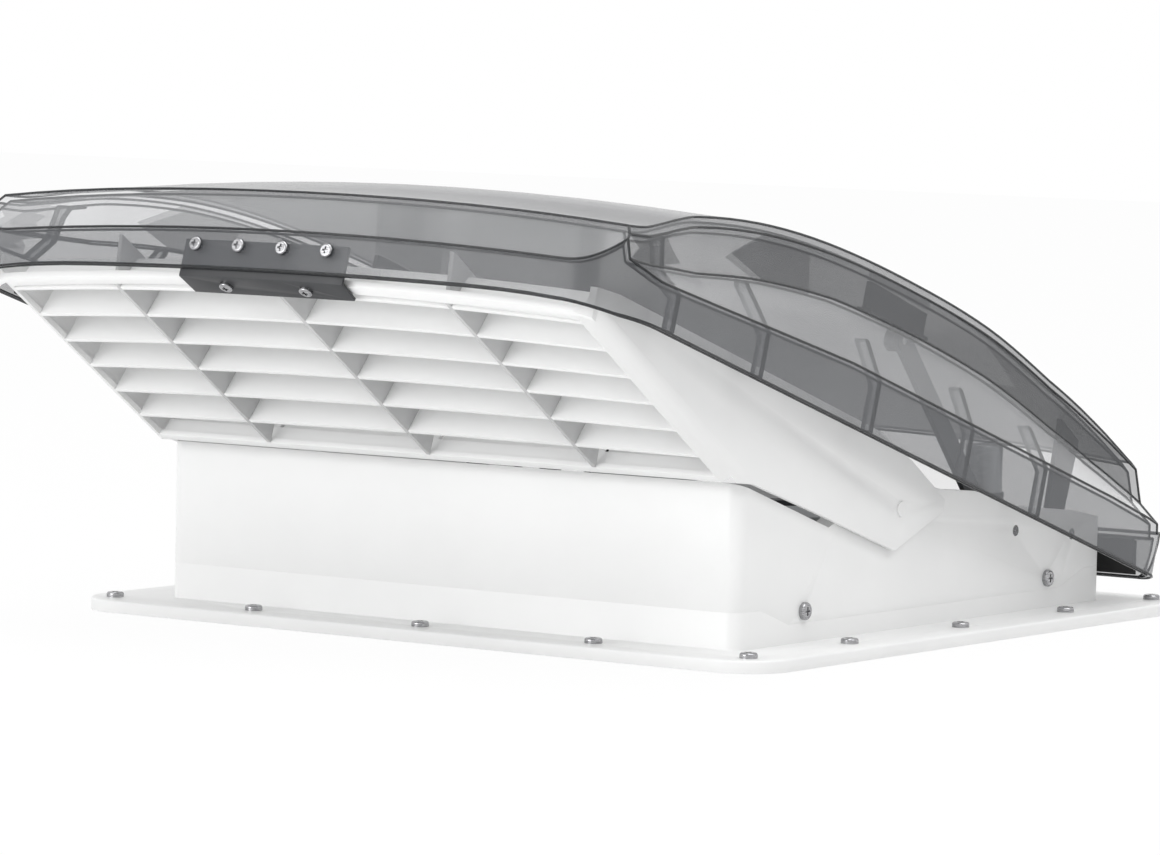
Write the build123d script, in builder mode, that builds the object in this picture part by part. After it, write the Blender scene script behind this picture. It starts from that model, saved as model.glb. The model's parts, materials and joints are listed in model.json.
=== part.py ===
from build123d import *
import os
from math import asin, atan2, cos, degrees, hypot, pi, radians, sin, tan

# A powered caravan roof vent, drawn open as it stands on the roof.
# Millimetres. X runs across the roof, -Y is the louvred front, +Y the hinge side, +Z is up.
# The origin is the middle of the roof flange's underside.

os.makedirs("parts", exist_ok=True)

# Shared clearances and cutting values
overrun = 20.0
full_turn = 360.0
nut_sides = 6
run_gap = 0.05
seat_gap = 0.2
moving_gap = 0.3

# Roof flange and upstand
flange_side = 440.0
flange_thick = 6.6
flange_corner = 27.0
flange_edge_round = 1.2
housing_side = 366.0
housing_corner = 9.0
upstand_wall = 5.0
upstand_inner_wall = 2.4
upstand_height = 30.0
seam_high = 25.6
seam_low = 16.5
seam_slope_start = 162.0
seam_slope_end = 136.0
gusset_side = 16.0
gusset_height = 12.0
trim_hole_radius = 2.0
trim_hole_inset = 10.0

# Roof screws
screw_inset = 17.0
screw_pitch = 109.0
roof_head_radius = 4.6
roof_head_height = 2.8
roof_shank_radius = 2.1
recess_width = 1.0
recess_depth = 1.2
head_round_share = 0.45
hole_clear = 0.2

# Housing
housing_wall = 2.4
housing_top_front = 91.0
housing_ledge = 9.0
housing_skin = 2.6
side_screw_y = 122.0
side_screw_z = 22.6
side_head_radius = 4.6
side_head_height = 2.6
side_shank_radius = 1.8
side_shank_length = 8.0
# Side profile of the housing top, as shares of half its side and of its front height
profile_shares = [
    (-1.0, 1.0), (-0.546, 0.703), (-0.50, 0.737), (-0.38, 0.88), (-0.11, 0.923),
    (0.066, 0.846), (0.243, 0.819), (0.484, 0.704), (0.81, 0.637), (1.0, 0.571),
]

# Lid opening and its hinge
lid_open_angle = 17.4
lid_hinge_y = 148.0
lid_hinge_z = 45.0
lid_drop = 10.0
lid_front = 516.0
lid_rear = 58.0
lid_half = 210.0
lid_wall = 3.0
lid_front_bow = 17.0
lid_front_corner = 40.0
lid_rear_corner = 14.0
lid_rim = 30.0
lid_crown = 95.0
# Stations along the lid from front to rear, each with the shares of the lid's sizes:
# place along, rim height, arc half width, arc height, ridge half width, ridge height, crown height,
# and the share of the shoulder's rise above the ridge
lid_shares = [
    (0.0, 0.75, 0.976, 0.247, 0.962, 0.285, 0.438, 0.5),
    (0.028, 0.74, 0.967, 0.274, 0.952, 0.395, 0.528, 0.7),
    (0.080, 0.72, 0.952, 0.316, 0.943, 0.463, 0.618, 0.9),
    (0.171, 0.80, 0.919, 0.421, 0.895, 0.668, 0.828, 1.0),
    (0.280, 0.90, 0.905, 0.568, 0.886, 0.821, 0.964, 1.0),
    (0.394, 1.0, 0.905, 0.663, 0.886, 0.905, 1.042, 1.0),
    (0.537, 1.0, 0.905, 0.695, 0.886, 0.937, 1.072, 1.0),
    (0.681, 1.0, 0.905, 0.674, 0.886, 0.916, 1.052, 1.0),
    (0.803, 1.0, 0.905, 0.589, 0.890, 0.811, 0.948, 1.0),
    (0.882, 1.0, 0.914, 0.516, 0.905, 0.718, 0.850, 0.9),
    (0.951, 0.967, 0.938, 0.432, 0.929, 0.600, 0.730, 0.6),
    (1.0, 0.90, 0.967, 0.337, 0.952, 0.500, 0.620, 0.4),
]
shoulder_in = 3.0
shoulder_rise = 5.2
# Front face: upright rim, then a face that slopes back to the crown
nose_base = 21.0
nose_lead = 2.9
nose_angle = 31.0
# Rear wall: upright when the lid is open, with the crown set in above the rim
tail_rim = 27.0
tail_step = 5.8
# Lower edge of the front rim, arched up over the hood: shares of its half width and rise
arch_half = 200.0
arch_rise = 5.6
arch_shares = ((-1.0, 0.0), (-0.75, 0.82), (-0.5, 0.96), (0.0, 1.0), (0.5, 0.96), (0.75, 0.82), (1.0, 0.0))
rim_inset_share = 0.5
arc_inset_share = 0.5
station_reach = 1.0
rib_bottom = 2.0
rib_top_share = 0.5
lid_rib_thick = 2.0
lid_rib_depth = 5.0
# Places of the upright ribs inside the lid's sides, as shares of its length
lid_rib_shares = (0.115, 0.26, 0.45, 0.62, 0.76)

# Rear seal of the lid
seal_thick = 3.0
seal_bottom = 1.0
seal_height = 18.8

# Rain hood that carries the louvres
hood_half = 187.3
hood_wall = 3.0
hood_corner = 10.0
hood_bottom_y = 194.6
hood_bottom_z = 92.5
hood_top_y = 337.5
hood_top_z = 188.9
hood_lid_gap = 6.2
hood_window_side = 9.3
hood_window_bottom = 5.0
hood_window_top = 7.0
hood_lip_end = 285.0
hood_pivot_y = 37.0
hood_pivot_z = 70.0
hood_pin_radius = 4.0
hood_pin_proud = 0.8
hood_pin_collar = 6.5
hood_pin_collar_length = 4.0
# Side arm outline behind the louvres, as shares of the hood's bottom edge place and height
arm_shares = [
    (-0.910, 0.981), (-0.570, 0.763), (-0.215, 0.525), (0.030, 0.717), (0.035, 0.784),
    (-0.137, 1.021), (-0.308, 1.211),
]
arm_top_front_share = (-1.542, 2.054)
arm_top_end_share = (-1.721, 2.134)

# Louvres
louvre_rows = 7
louvre_pitch = 14.85
louvre_height = 12.6
louvre_thick = 2.0
louvre_bow = 10.0
louvre_start = 2.0
divider_spacing = 104.0
divider_thick = 2.4
divider_depth = 16.0

# Link plate between the lid's front and the hood
link_half = 51.0
link_thick = 1.6
link_upper = 19.0
link_upper_bottom = 1.4
link_lower = 16.0
link_lower_slant = 1.0
link_slope = 34.0
link_screw_count = 4
link_screw_pitch = 27.3
link_screw_height = 17.0
link_shank_tail = 1.6
link_low_tail = 0.1
bow_seat = 0.02
link_low_screw_half = 25.0
link_head_radius = 3.6
link_head_height = 2.2
link_shank_radius = 1.6

# Lid hinge brackets and pins
bracket_centre = 169.0
bracket_thick = 3.0
bracket_half_length = 13.0
bracket_eye_radius = 8.0
hinge_pin_radius = 3.0
hinge_boss_radius = 8.0
hinge_pin_head_radius = 5.0
hinge_pin_head = 2.0

# Lift arms, rollers and rails
lift_pivot_y = 88.0
lift_pivot_z = 50.6
lift_length = 140.0
lift_angle_open = 48.65
lift_angle_closed = 22.9
lift_arm_centre = 165.5
lift_arm_thick = 3.0
lift_arm_width = 12.0
lift_pin_radius = 3.0
lift_pin_tail = 2.0
lift_boss_radius = 7.0
roller_radius = 6.0
roller_width = 6.0
roller_pin_radius = 2.0
roller_pin_head = 3.2
roller_pin_head_height = 1.0
rail_length = 60.0
rail_width = 9.0
rail_web = 2.5
rail_foot = 2.0
rail_gap = 0.4

# Fan shroud, motor and rotor
shroud_radius = 156.0
shroud_wall = 2.5
shroud_bottom = 20.0
shroud_top = 58.0
deck_thick = 2.5
rotor_tip_gap = 4.0
rotor_hub_radius = 38.0
rotor_hub_wall = 2.5
rotor_bottom = 28.0
rotor_height = 26.0
blade_count = 10
blade_thick = 2.2
blade_pitch_angle = 32.0
blade_root_chord = 30.0
blade_tip_chord = 40.0
motor_radius = 29.0
motor_height = 30.0
motor_cap_skirt = 10.0
motor_cap_wall = 1.5
motor_shaft_radius = 4.0
nut_radius = 7.0
nut_height = 5.0
spider_arms = 4
spider_start = 45.0
spider_width = 14.0
spider_thick = 3.0
spider_hub_radius = 34.0
spider_foot = 8.0
bracket_screw_radius = 1.8
bracket_head_radius = 3.6
bracket_head_height = 2.2
lug_length = 12.0
lug_height = 10.0
shaft_tail = 2.0
motor_bearing_depth = 20.0

# Lid drive
gear_x = 151.0
wheel_width = 8.0
wheel_radius = 14.0
wheel_teeth = 24
tooth_depth = 1.8
worm_radius = 4.0
worm_shaft_radius = 2.5
worm_groove = 0.8
worm_turns = 5
shaft_boss_radius = 5.0
shaft_boss_length = 16.0
worm_clear = 0.6
gearbox_wall = 2.0
gearbox_room = 2.0
lift_motor_radius = 10.0
lift_motor_height = 26.0
knob_radius = 13.0
knob_height = 9.0
knob_bottom = 3.0
knob_flutes = 8
knob_skin = 2.0
lift_bearing_depth = 8.0
flute_radius = 2.2

# Control pod
pod_centre = 143.0
pod_half = 18.0
pod_wall = 2.0
pod_bottom = 12.0
fascia_thick = 2.0
button_half_length = 12.0
button_half_width = 3.6
button_spacing = 10.0
button_proud = 2.0
button_travel = 1.5
button_flange = 1.2
button_clear = 0.25
board_thick = 1.6
board_clear = 3.2
button_stem_radius = 1.5
button_rest = 0.1
button_lip = 0.8

# Insect screen
screen_outer = 163.0
screen_inner = 151.0
screen_frame_thick = 3.4
screen_seat = 0.3
screen_ledge = 1.2
screen_ledge_width = 3.0
mesh_thick = 0.6
mesh_pitch = 17.0
mesh_bar = 2.2
clip_count = 3
clip_orbit = 168.5
clip_post_radius = 3.0
clip_pin_radius = 1.3
clip_pin_length = 8.0
clip_thick = 2.2
clip_width = 8.0
clip_reach = 13.0

# Values worked out from the sizes above
flange_half = flange_side / 2
housing_half = housing_side / 2
opening_half = housing_half - upstand_wall
inner_ring_half = opening_half + upstand_inner_wall
wall_inner_half = housing_half - housing_wall
deck_bottom = upstand_height
deck_top = deck_bottom + deck_thick
lid_length = lid_front + lid_rear
front_radius = (lid_half ** 2 + lid_front_bow ** 2) / (2 * lid_front_bow)
slope = radians(lid_open_angle)
lid_plane = Plane(
    origin=(0, lid_hinge_y, lid_hinge_z),
    x_dir=(1, 0, 0),
    z_dir=(0, sin(slope), cos(slope)),
)
hood_run = hood_top_y - hood_bottom_y
hood_rise = hood_top_z - hood_bottom_z
hood_slope = atan2(hood_rise, hood_run)
hood_grade = hood_rise / hood_run


def lid_level(height):
    """Plane parallel to the lid's rim, at a height above the rim's lower edge."""
    return lid_plane.offset(height - lid_drop)


def box_between(low, high):
    """A box from its lowest to its highest corner."""
    with BuildPart() as block:
        with Locations(((low[0] + high[0]) / 2, (low[1] + high[1]) / 2, (low[2] + high[2]) / 2)):
            Box(high[0] - low[0], high[1] - low[1], high[2] - low[2])
    return block.part


def side_prism(points, half_width):
    """A prism across the vent whose side view is the given outline of (y, z) points."""
    with BuildPart() as prism:
        with BuildSketch(Plane.YZ):
            with BuildLine():
                Polyline(*points, close=True)
            make_face()
        extrude(amount=half_width, both=True)
    return prism.part


def side_plate(points, x_low, x_high):
    """A plate between two x places whose side view is the given outline of (y, z) points."""
    with BuildPart() as plate:
        with BuildSketch(Plane.YZ.offset(x_low)):
            with BuildLine():
                Polyline(*points, close=True)
            make_face()
        extrude(amount=x_high - x_low)
    return plate.part


def cross_pin(radius, x_low, x_high, y, z):
    """A round bar along X."""
    with BuildPart() as bar:
        with BuildSketch(Plane.YZ.offset(x_low)):
            with Locations((y, z)):
                Circle(radius)
        extrude(amount=x_high - x_low)
    return bar.part


def upright_pin(radius, x, y, z_low, z_high):
    """A round bar along Z."""
    with BuildPart() as bar:
        with BuildSketch(Plane.XY.offset(z_low)):
            with Locations((x, y)):
                Circle(radius)
        extrude(amount=z_high - z_low)
    return bar.part


def pan_screw(plane, head_radius, head_height, shank_radius, shank_length):
    """A pan head screw whose head stands on the plane, with a cross recess."""
    with BuildPart() as screw:
        with BuildSketch(plane):
            Circle(head_radius)
        extrude(amount=head_height)
        head_face = screw.faces().sort_by(Axis(plane.origin, plane.z_dir))[-1]
        fillet(head_face.edges(), head_height * head_round_share)
        with BuildSketch(plane):
            Circle(shank_radius)
        extrude(amount=-shank_length)
        with BuildSketch(plane.offset(head_height)):
            Rectangle(head_radius, recess_width)
            Rectangle(recess_width, head_radius)
        extrude(amount=-recess_depth, mode=Mode.SUBTRACT)
    return screw.part


def write_out(name, label):
    """Label a finished piece and write its file."""
    name.part.label = label
    export_step(name.part, f"parts/{label}.step")


# Roof flange with its upstand
def above_seam(lift):
    """Side view of the space above the seam between upstand and housing."""
    return [
        (-flange_half, seam_high + lift), (-seam_slope_start, seam_high + lift),
        (-seam_slope_end, seam_low + lift), (seam_slope_end, seam_low + lift),
        (seam_slope_start, seam_high + lift), (flange_half, seam_high + lift),
        (flange_half, housing_top_front + overrun), (-flange_half, housing_top_front + overrun),
    ]


opening_corner = housing_corner - upstand_wall
ring_corner = housing_corner - upstand_wall + upstand_inner_wall
screw_edge = flange_half - screw_inset
roof_places = [(i * screw_edge, j * screw_edge) for i in (-1, 1) for j in (-1, 1)]
for step in (-1, 0, 1):
    roof_places += [(step * screw_pitch, -screw_edge), (step * screw_pitch, screw_edge)]
    roof_places += [(-screw_edge, step * screw_pitch), (screw_edge, step * screw_pitch)]
side_screw_places = [(i, j * side_screw_y) for i in (-1, 1) for j in (-1, 1)]
trim_hole_half = opening_half - trim_hole_inset
gusset_full = gusset_side + upstand_inner_wall
gusset_centre = inner_ring_half - gusset_full / 2

with BuildPart() as outer_ring:
    with BuildSketch(Plane.XY.offset(flange_thick)):
        RectangleRounded(housing_side, housing_side, housing_corner)
        RectangleRounded(2 * inner_ring_half, 2 * inner_ring_half, ring_corner, mode=Mode.SUBTRACT)
    extrude(amount=seam_high - flange_thick)
    add(side_prism(above_seam(0), flange_half), mode=Mode.SUBTRACT)

with BuildPart() as roof_flange:
    with BuildSketch():
        RectangleRounded(flange_side, flange_side, flange_corner)
    extrude(amount=flange_thick)
    fillet(roof_flange.faces().sort_by(Axis.Z)[-1].edges(), flange_edge_round)
    with BuildSketch(Plane.XY.offset(flange_thick)):
        RectangleRounded(2 * inner_ring_half, 2 * inner_ring_half, ring_corner)
    extrude(amount=upstand_height - flange_thick)
    with BuildSketch():
        RectangleRounded(2 * opening_half, 2 * opening_half, opening_corner)
    extrude(amount=upstand_height, mode=Mode.SUBTRACT)
    add(outer_ring.part)
    with BuildSketch():
        with GridLocations(2 * gusset_centre, 2 * gusset_centre, 2, 2):
            RectangleRounded(gusset_full, gusset_full, opening_corner)
    extrude(amount=gusset_height)
    with BuildSketch():
        with GridLocations(2 * trim_hole_half, 2 * trim_hole_half, 2, 2):
            Circle(trim_hole_radius)
    extrude(amount=gusset_height, mode=Mode.SUBTRACT)
    with BuildSketch():
        with Locations(*roof_places):
            Circle(roof_shank_radius + hole_clear)
    extrude(amount=flange_thick, mode=Mode.SUBTRACT)
    for side, place in side_screw_places:
        add(cross_pin(side_shank_radius + hole_clear, min(0, side * housing_half),
                      max(0, side * housing_half), place, side_screw_z), mode=Mode.SUBTRACT)
write_out(roof_flange, "roof_flange")

with BuildPart() as roof_screws:
    for place in roof_places:
        add(pan_screw(Plane(origin=(*place, flange_thick)), roof_head_radius, roof_head_height,
                      roof_shank_radius, flange_thick))
write_out(roof_screws, "roof_screws")

# Housing
top_profile = [(y * housing_half, z * housing_top_front) for y, z in profile_shares]


def under_profile(drop):
    """Side view of the space under the housing's top, lowered by a drop."""
    outline = [(y, z - drop) for y, z in top_profile]
    first = (-housing_half - overrun, outline[0][1])
    last = (housing_half + overrun, outline[-1][1])
    return [first] + outline + [last, (last[0], 0), (first[0], 0)]


bracket_outer = bracket_centre + bracket_thick / 2
bracket_inner = bracket_centre - bracket_thick / 2
arm_outer = lift_arm_centre + lift_arm_thick / 2
arm_inner = lift_arm_centre - lift_arm_thick / 2
housing_open_half = wall_inner_half - housing_ledge

with BuildPart() as housing_hollow:
    with BuildSketch():
        RectangleRounded(2 * wall_inner_half, 2 * wall_inner_half, housing_corner - housing_wall)
    extrude(amount=housing_top_front)
    add(side_prism(under_profile(housing_skin), flange_half), mode=Mode.INTERSECT)

with BuildPart() as housing:
    with BuildSketch():
        RectangleRounded(housing_side, housing_side, housing_corner)
    extrude(amount=housing_top_front)
    add(side_prism(under_profile(0), flange_half), mode=Mode.INTERSECT)
    add(side_prism(above_seam(0), flange_half), mode=Mode.INTERSECT)
    add(housing_hollow.part, mode=Mode.SUBTRACT)
    with BuildSketch():
        RectangleRounded(2 * housing_open_half, 2 * housing_open_half, housing_corner)
    extrude(amount=housing_top_front, mode=Mode.SUBTRACT)
    for side in (-1, 1):
        add(cross_pin(hinge_boss_radius, *sorted((side * (bracket_outer + moving_gap),
                      side * wall_inner_half)), lid_hinge_y, lid_hinge_z))
        add(cross_pin(lift_boss_radius, *sorted((side * (arm_outer + moving_gap),
                      side * wall_inner_half)), lift_pivot_y, lift_pivot_z))
        reach = sorted((side * arm_inner, side * (housing_half + overrun)))
        add(cross_pin(hinge_pin_radius + run_gap, *reach, lid_hinge_y, lid_hinge_z), mode=Mode.SUBTRACT)
        add(cross_pin(lift_pin_radius + run_gap, *reach, lift_pivot_y, lift_pivot_z), mode=Mode.SUBTRACT)
        add(cross_pin(hood_pin_radius + run_gap, *reach, -hood_pivot_y, hood_pivot_z), mode=Mode.SUBTRACT)
    for side, place in side_screw_places:
        reach = sorted((side * opening_half, side * (housing_half + overrun)))
        add(cross_pin(side_shank_radius + hole_clear, *reach, place, side_screw_z), mode=Mode.SUBTRACT)
write_out(housing, "housing")

with BuildPart() as housing_screws:
    for side, place in side_screw_places:
        plane = Plane(origin=(side * housing_half, place, side_screw_z), x_dir=(0, 1, 0), z_dir=(side, 0, 0))
        add(pan_screw(plane, side_head_radius, side_head_height, side_shank_radius, side_shank_length))
write_out(housing_screws, "housing_screws")

# Fan shroud with the deck that closes the corners of the opening
screw_orbit = shroud_radius + lug_length / 2 + shroud_wall / 2
lug_places = [spider_start + full_turn * i / spider_arms for i in range(spider_arms)]
worm_y = lift_pivot_y + wheel_radius + worm_clear + worm_radius
screen_top = shroud_bottom - screen_seat
screen_bottom = screen_top - screen_frame_thick
clip_places = [full_turn * i / clip_count for i in range(clip_count)]

with BuildPart() as fan_shroud:
    with BuildSketch(Plane.XY.offset(deck_bottom)):
        RectangleRounded(2 * (wall_inner_half - seat_gap), 2 * (wall_inner_half - seat_gap), ring_corner)
    extrude(amount=deck_thick)
    with BuildSketch(Plane.XY.offset(shroud_bottom)):
        Circle(shroud_radius + shroud_wall)
    extrude(amount=shroud_top - shroud_bottom)
    with BuildSketch(Plane.XY.offset(shroud_top)):
        for turn in lug_places:
            with Locations(Rotation(0, 0, turn)):
                with Locations((shroud_radius + lug_length / 2, 0)):
                    Rectangle(lug_length, spider_width)
    extrude(amount=-lug_height)
    with BuildSketch(Plane.XY.offset(deck_bottom)):
        with Locations((gear_x, worm_y)):
            Circle(shaft_boss_radius)
    extrude(amount=-shaft_boss_length)
    with BuildSketch(Plane.XY.offset(deck_bottom)):
        with PolarLocations(clip_orbit, clip_count):
            Circle(clip_post_radius)
    extrude(amount=screen_bottom - deck_bottom)
    with BuildSketch():
        Circle(shroud_radius)
        with Locations((gear_x, worm_y)):
            Circle(worm_shaft_radius + run_gap)
        with PolarLocations(clip_orbit, clip_count):
            Circle(clip_pin_radius + run_gap)
        with PolarLocations(screw_orbit, spider_arms, start_angle=spider_start):
            Circle(bracket_screw_radius + run_gap)
    extrude(amount=shroud_top, mode=Mode.SUBTRACT)
write_out(fan_shroud, "fan_shroud")

# Motor bracket, motor and rotor
bracket_top = shroud_top + spider_thick
motor_top = bracket_top + motor_height
rotor_top = rotor_bottom + rotor_height
rotor_radius = shroud_radius - rotor_tip_gap
nut_top = rotor_top - rotor_hub_wall
shaft_bottom = nut_top - nut_height - shaft_tail

with BuildPart() as motor_bracket:
    with BuildSketch(Plane.XY.offset(shroud_top)):
        Circle(spider_hub_radius)
        for turn in lug_places:
            with Locations(Rotation(0, 0, turn)):
                with Locations(((screw_orbit + spider_foot / 2) / 2, 0)):
                    Rectangle(screw_orbit + spider_foot / 2, spider_width)
        Circle(motor_shaft_radius + moving_gap, mode=Mode.SUBTRACT)
        with PolarLocations(screw_orbit, spider_arms, start_angle=spider_start):
            Circle(bracket_screw_radius + hole_clear, mode=Mode.SUBTRACT)
    extrude(amount=spider_thick)
write_out(motor_bracket, "motor_bracket")

with BuildPart() as bracket_screws:
    for turn in lug_places:
        place = (screw_orbit * cos(radians(turn)), screw_orbit * sin(radians(turn)), bracket_top)
        add(pan_screw(Plane(origin=place), bracket_head_radius, bracket_head_height,
                      bracket_screw_radius, spider_thick + lug_height - seat_gap))
write_out(bracket_screws, "bracket_screws")

with BuildPart() as motor_can:
    with BuildSketch(Plane.XY.offset(bracket_top)):
        Circle(motor_radius)
    extrude(amount=motor_height)
    with BuildSketch(Plane.XY.offset(bracket_top)):
        Circle(motor_shaft_radius + run_gap)
    extrude(amount=motor_bearing_depth, mode=Mode.SUBTRACT)
write_out(motor_can, "motor_can")

with BuildPart() as motor_cap:
    with BuildSketch(Plane.XY.offset(motor_top - motor_cap_skirt)):
        Circle(motor_radius + run_gap + motor_cap_wall)
    extrude(amount=motor_cap_skirt + motor_cap_wall)
    fillet(motor_cap.faces().sort_by(Axis.Z)[-1].edges(), motor_cap_wall)
    with BuildSketch(Plane.XY.offset(motor_top - motor_cap_skirt)):
        Circle(motor_radius + run_gap)
    extrude(amount=motor_cap_skirt, mode=Mode.SUBTRACT)
write_out(motor_cap, "motor_cap")

with BuildPart() as motor_shaft:
    with BuildSketch(Plane.XY.offset(shaft_bottom)):
        Circle(motor_shaft_radius)
    extrude(amount=bracket_top + motor_bearing_depth - seat_gap - shaft_bottom)
write_out(motor_shaft, "motor_shaft")

with BuildPart() as blade:
    for place, chord in ((rotor_hub_radius - rotor_hub_wall / 2, blade_root_chord),
                         (rotor_radius + rotor_tip_gap, blade_tip_chord)):
        with BuildSketch(Plane.YZ.offset(place)):
            with Locations((0, rotor_bottom + rotor_height / 2)):
                Rectangle(chord, blade_thick, rotation=blade_pitch_angle)
    loft(ruled=True)
    with BuildSketch(Plane.XY.offset(rotor_bottom)):
        Circle(rotor_radius)
    extrude(amount=rotor_height, mode=Mode.INTERSECT)

with BuildPart() as fan_rotor:
    with BuildSketch(Plane.XY.offset(rotor_bottom)):
        Circle(rotor_hub_radius)
    extrude(amount=rotor_height)
    fillet(fan_rotor.faces().sort_by(Axis.Z)[-1].edges(), rotor_hub_wall)
    with PolarLocations(0, blade_count):
        add(blade.part)
    with BuildSketch(Plane.XY.offset(rotor_bottom)):
        Circle(rotor_hub_radius - rotor_hub_wall)
    extrude(amount=rotor_height - rotor_hub_wall, mode=Mode.SUBTRACT)
    with BuildSketch(Plane.XY.offset(rotor_bottom)):
        Circle(motor_shaft_radius + run_gap)
    extrude(amount=rotor_height, mode=Mode.SUBTRACT)
write_out(fan_rotor, "fan_rotor")

with BuildPart() as rotor_nut:
    with BuildSketch(Plane.XY.offset(nut_top - nut_height)):
        RegularPolygon(nut_radius, nut_sides)
        Circle(motor_shaft_radius + run_gap, mode=Mode.SUBTRACT)
    extrude(amount=nut_height)
write_out(rotor_nut, "rotor_nut")

# Lid shell
def lid_outline(inset):
    """Plan of the lid on its rim plane, drawn in from the edge by an inset."""
    with BuildSketch() as outline:
        with BuildLine():
            front = -(lid_front - lid_front_bow)
            ThreePointArc((-lid_half, front), (0, -lid_front), (lid_half, front))
            Line((lid_half, front), (lid_half, lid_rear))
            Line((lid_half, lid_rear), (-lid_half, lid_rear))
            Line((-lid_half, lid_rear), (-lid_half, front))
        make_face()
        fillet(outline.vertices().group_by(Axis.Y)[0], lid_front_corner)
        fillet(outline.vertices().group_by(Axis.Y)[-1], lid_rear_corner)
        if inset > 0:
            offset(amount=-inset, mode=Mode.REPLACE)
    return outline.sketch


def lid_column(inset, low, high):
    """The lid's plan, drawn in by an inset, as a column between two heights above the rim."""
    with BuildPart() as column:
        with BuildSketch(lid_level(low)):
            add(lid_outline(inset))
        extrude(amount=high - low)
    return column.part


def lid_station(place):
    """Plane across the lid at a place along it, with its height measured from the rim's lower edge."""
    return Plane(origin=lid_plane.from_local_coords((0, place, -lid_drop)),
                 x_dir=(1, 0, 0), z_dir=lid_plane.y_dir.reverse())


def lid_nose(inset):
    """All that lies behind the lid's front face, which slopes back above the rim."""
    lead = lid_front_bow + nose_lead
    radius = (lid_half ** 2 + lead ** 2) / (2 * lead)
    with BuildPart() as nose:
        with BuildSketch(lid_level(nose_base)):
            with Locations((0, radius - lid_front - nose_lead)):
                Circle(radius - inset / cos(radians(nose_angle)))
        extrude(amount=-nose_base - 2 * overrun)
        with BuildSketch(lid_level(nose_base)):
            with Locations((0, radius - lid_front - nose_lead)):
                Circle(radius - inset / cos(radians(nose_angle)))
        extrude(amount=lid_crown + overrun, taper=nose_angle)
    return nose.part


def lid_tail(inset):
    """All that lies ahead of the lid's upright rear wall, which steps in above the rim."""
    rear = lid_plane.from_local_coords((0, lid_rear, -lid_drop)).Y - inset
    step = lid_plane.from_local_coords((0, lid_rear, tail_rim - lid_drop)).Z - inset
    far = -lid_front - lid_half
    return side_prism([(far, far), (rear, far), (rear, step), (rear - tail_step, step),
                       (rear - tail_step, lid_front), (far, lid_front)], lid_half + overrun)


def lid_solid(inset, bottom):
    """The lid filled in, drawn in by an inset, down to a height above the rim."""
    with BuildPart() as filled:
        for along, rim, arc_x, arc_w, ridge_x, ridge_w, top_w, rise in lid_shares:
            place = along * (lid_length + 2 * station_reach) - lid_front - station_reach
            rim_top = rim * lid_rim - inset * rim_inset_share
            arc = (arc_x * lid_half - inset, arc_w * lid_crown - inset * arc_inset_share)
            ridge = (ridge_x * lid_half - inset, ridge_w * lid_crown - inset)
            shoulder = (ridge[0] - shoulder_in, ridge[1] + rise * shoulder_rise)
            facet_grade = (arc[1] - rim_top) / (lid_half - inset - arc[0])
            edge = (lid_half - inset + station_reach, rim_top - station_reach * facet_grade)
            with BuildSketch(lid_station(place)):
                with BuildLine():
                    Polyline((-shoulder[0], shoulder[1]), (-ridge[0], ridge[1]), (-arc[0], arc[1]),
                             (-edge[0], edge[1]), (-edge[0], bottom - station_reach),
                             (edge[0], bottom - station_reach), edge, arc, ridge, shoulder)
                    ThreePointArc(shoulder, (0, top_w * lid_crown - inset), (-shoulder[0], shoulder[1]))
                make_face()
        loft(ruled=True)
        add(lid_column(inset, bottom, lid_crown + 2 * overrun), mode=Mode.INTERSECT)
        add(lid_nose(inset), mode=Mode.INTERSECT)
        add(lid_tail(inset), mode=Mode.INTERSECT)
    return filled.part


lid_cavity = lid_solid(lid_wall, -overrun)
seat_cavity = lid_solid(lid_wall + seat_gap, -overrun)
rib_core = lid_solid(lid_wall + lid_rib_depth, -overrun)

with BuildPart() as lid_ribs:
    for share in lid_rib_shares:
        place = share * lid_length - lid_front
        with BuildSketch(lid_level(rib_bottom)):
            with Locations((0, place)):
                Rectangle(2 * lid_half, lid_rib_thick)
        extrude(amount=lid_crown * rib_top_share)
    add(lid_solid(lid_wall / 2, -overrun), mode=Mode.INTERSECT)
    add(rib_core, mode=Mode.SUBTRACT)

link_screw_places = [(step - (link_screw_count - 1) / 2) * link_screw_pitch for step in range(link_screw_count)]

with BuildPart() as lid_shell:
    add(lid_solid(0, 0))
    add(lid_cavity, mode=Mode.SUBTRACT)
    add(lid_ribs.part)
    with BuildSketch(lid_station(-lid_front - overrun)):
        with BuildLine():
            Spline(*[(across * arch_half, up * arch_rise) for across, up in arch_shares])
            Polyline((arch_half, 0), (arch_half, -overrun), (-arch_half, -overrun), (-arch_half, 0))
        make_face()
    extrude(amount=-overrun - lid_front_bow - lid_front_corner, mode=Mode.SUBTRACT)
    with BuildSketch(lid_station(-lid_front - overrun)):
        with Locations(*[(place, link_screw_height) for place in link_screw_places]):
            Circle(link_shank_radius + hole_clear)
    extrude(amount=-2 * overrun, mode=Mode.SUBTRACT)
write_out(lid_shell, "lid_shell")

with BuildPart() as rear_seal:
    with BuildSketch(lid_level(seal_bottom)):
        back = lid_rear - (lid_wall + seat_gap) / cos(slope) - seal_bottom * tan(slope)
        with Locations((0, back - seal_thick / 2)):
            Rectangle(2 * (lid_half - lid_rear_corner), seal_thick)
    extrude(amount=seal_height, dir=(0, 0, 1))
write_out(rear_seal, "rear_seal")

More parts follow.
